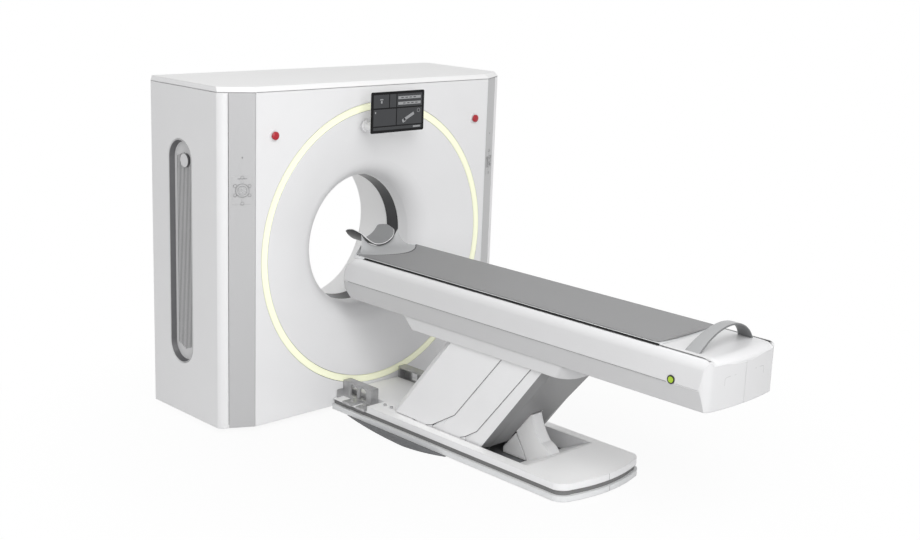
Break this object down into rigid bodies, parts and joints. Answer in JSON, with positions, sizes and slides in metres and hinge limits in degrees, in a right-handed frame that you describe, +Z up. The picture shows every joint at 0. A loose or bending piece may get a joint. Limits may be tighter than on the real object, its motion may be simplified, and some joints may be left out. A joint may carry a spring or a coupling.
{
  "type": "ct scanner",
  "caption": "Ring-shaped medical scanner with a dished lit bore, and a patient table on a leaning parallelogram lift whose top slides into the bore.",
  "frame": {"origin": "floor point under the isocentre, where the scan plane meets the bore's axis", "axes": "+Z up, +Y through the bore from the patient table to the back of the gantry, +X to the right seen from the table"},
  "size_m": [2.032, 3.209, 1.843],
  "materials": {
    "white_shell": "satin painted moulding",
    "grey_strip": "satin grey",
    "light_strip": "frosted light strip",
    "dark_window": "dark smooth film",
    "recess_grey": "ribbed satin",
    "screen": "glossy black with a grey picture",
    "stop_red": "gloss",
    "painted_steel": "painted",
    "bearing_steel": "ground",
    "rotor_casting": "cast and machined",
    "slip_ring": "matte with metal tracks",
    "black_plastic": "matte",
    "motor_metal": "cast",
    "generator_grey": "painted",
    "base_white": "satin",
    "groove_grey": "matte",
    "anchor_steel": "dark paint",
    "arm_grey": "satin",
    "link_cover_white": "satin powder coat",
    "link_cover_grey": "satin powder coat",
    "cradle_white": "satin",
    "mat_grey": "matte foam-backed sheet",
    "handle_grey": "satin",
    "holder_grey": "satin",
    "button_green": "gloss"
  },
  "bodies": {
    "gantry_and_base": {"front_cover": "white_shell", "light_ring": "light_strip", "bore_funnel": "white_shell", "scan_window": "dark_window", "rear_funnel": "white_shell", "rear_cover": "white_shell", "left_side_cover": "white_shell", "right_side_cover": "white_shell", "recess_pans": "recess_grey", "top_cover": "white_shell", "control_strips": "grey_strip", "display_screen": "screen", "display_housing": "white_shell", "gantry_frame": "painted_steel", "bearing_outer_race": "bearing_steel", "brush_block": "black_plastic", "drive_motor": "motor_metal", "drive_belt": "black_plastic", "base_lip": "base_white", "base_groove_band": "groove_grey", "base_deck": "base_white", "pit_liner": "groove_grey", "floor_anchors": "anchor_steel", "base_frame": "painted_steel", "lower_shafts": "bearing_steel", "arm_shroud_front": "arm_grey", "arm_shroud_rear": "arm_grey"},
    "rotor": {"rotor_drum": "rotor_casting", "bearing_inner_race": "bearing_steel", "slip_ring": "slip_ring", "xray_tube": "motor_metal", "collimator": "motor_metal", "detector_arc": "generator_grey", "high_voltage_generator": "generator_grey", "tube_cooler": "motor_metal"},
    "pulley": {"drive_pulley": "motor_metal"},
    "front_lift_link": {"front_link": "painted_steel", "front_link_cover": "link_cover_white"},
    "middle_lift_link": {"middle_link": "painted_steel", "middle_panels": "link_cover_white"},
    "rear_lift_link": {"rear_link": "painted_steel", "rear_link_cover": "link_cover_grey"},
    "carriage": {"carriage_cover": "white_shell", "carriage_frame": "painted_steel", "left_table_housing": "white_shell", "right_table_housing": "white_shell", "button_rings": "black_plastic", "upper_shafts": "bearing_steel"},
    "tabletop": {"cradle": "cradle_white", "mat": "mat_grey", "foot_cover": "white_shell", "handle": "handle_grey", "neck": "holder_grey", "head_holder": "holder_grey"},
    "left_stop": {"left_stop_button": "stop_red"},
    "right_stop": {"right_stop_button": "stop_red"},
    "left_table_key": {"left_table_button": "button_green"},
    "right_table_key": {"right_table_button": "button_green"}
  },
  "joints": [
    {"name": "rotor_spin", "type": "hinge", "parent": "gantry_and_base", "child": "rotor", "pos_m": [0, 0.25, 0.922], "axis": [0, 1, 0], "continuous": true},
    {"name": "pulley_spin", "type": "hinge", "parent": "gantry_and_base", "child": "pulley", "pos_m": [-0.8, 0.152, 0.2], "axis": [0, 1, 0], "continuous": true},
    {"name": "table_lift", "type": "hinge", "parent": "gantry_and_base", "child": "front_lift_link", "pos_m": [0, -0.93, 0.06], "axis": [-1, 0, 0], "range_deg": [-30, 0]},
    {"name": "middle_link_swing", "type": "hinge", "parent": "gantry_and_base", "child": "middle_lift_link", "pos_m": [0, -1.18, 0.06], "axis": [-1, 0, 0], "range_deg": [-30, 0]},
    {"name": "rear_link_swing", "type": "hinge", "parent": "gantry_and_base", "child": "rear_lift_link", "pos_m": [0, -1.33, 0.06], "axis": [-1, 0, 0], "range_deg": [-30, 0]},
    {"name": "carriage_level", "type": "hinge", "parent": "front_lift_link", "child": "carriage", "pos_m": [0, -1.42048, 0.655], "axis": [-1, 0, 0], "range_deg": [0, 30]},
    {"name": "tabletop_slide", "type": "slide", "parent": "carriage", "child": "tabletop", "axis": [0, 1, 0], "range_m": [0, 1.5]},
    {"name": "left_stop_press", "type": "slide", "parent": "gantry_and_base", "child": "left_stop", "axis": [0, 1, 0], "range_m": [0, 0.004], "stiffness_N_per_m": 1200, "springref_m": -0.002},
    {"name": "right_stop_press", "type": "slide", "parent": "gantry_and_base", "child": "right_stop", "axis": [0, 1, 0], "range_m": [0, 0.004], "stiffness_N_per_m": 1200, "springref_m": -0.002},
    {"name": "left_table_button_press", "type": "slide", "parent": "carriage", "child": "left_table_key", "axis": [1, 0, 0], "range_m": [0, 0.003], "stiffness_N_per_m": 800, "springref_m": -0.002},
    {"name": "right_table_button_press", "type": "slide", "parent": "carriage", "child": "right_table_key", "axis": [-1, 0, 0], "range_m": [0, 0.003], "stiffness_N_per_m": 800, "springref_m": -0.002}
  ],
  "couplings": [
    {"joint": "pulley_spin", "follows": "rotor_spin", "ratio": 13.167},
    {"joint": "middle_link_swing", "follows": "table_lift", "ratio": 1},
    {"joint": "rear_link_swing", "follows": "table_lift", "ratio": 1},
    {"joint": "carriage_level", "follows": "table_lift", "ratio": -1}
  ]
}
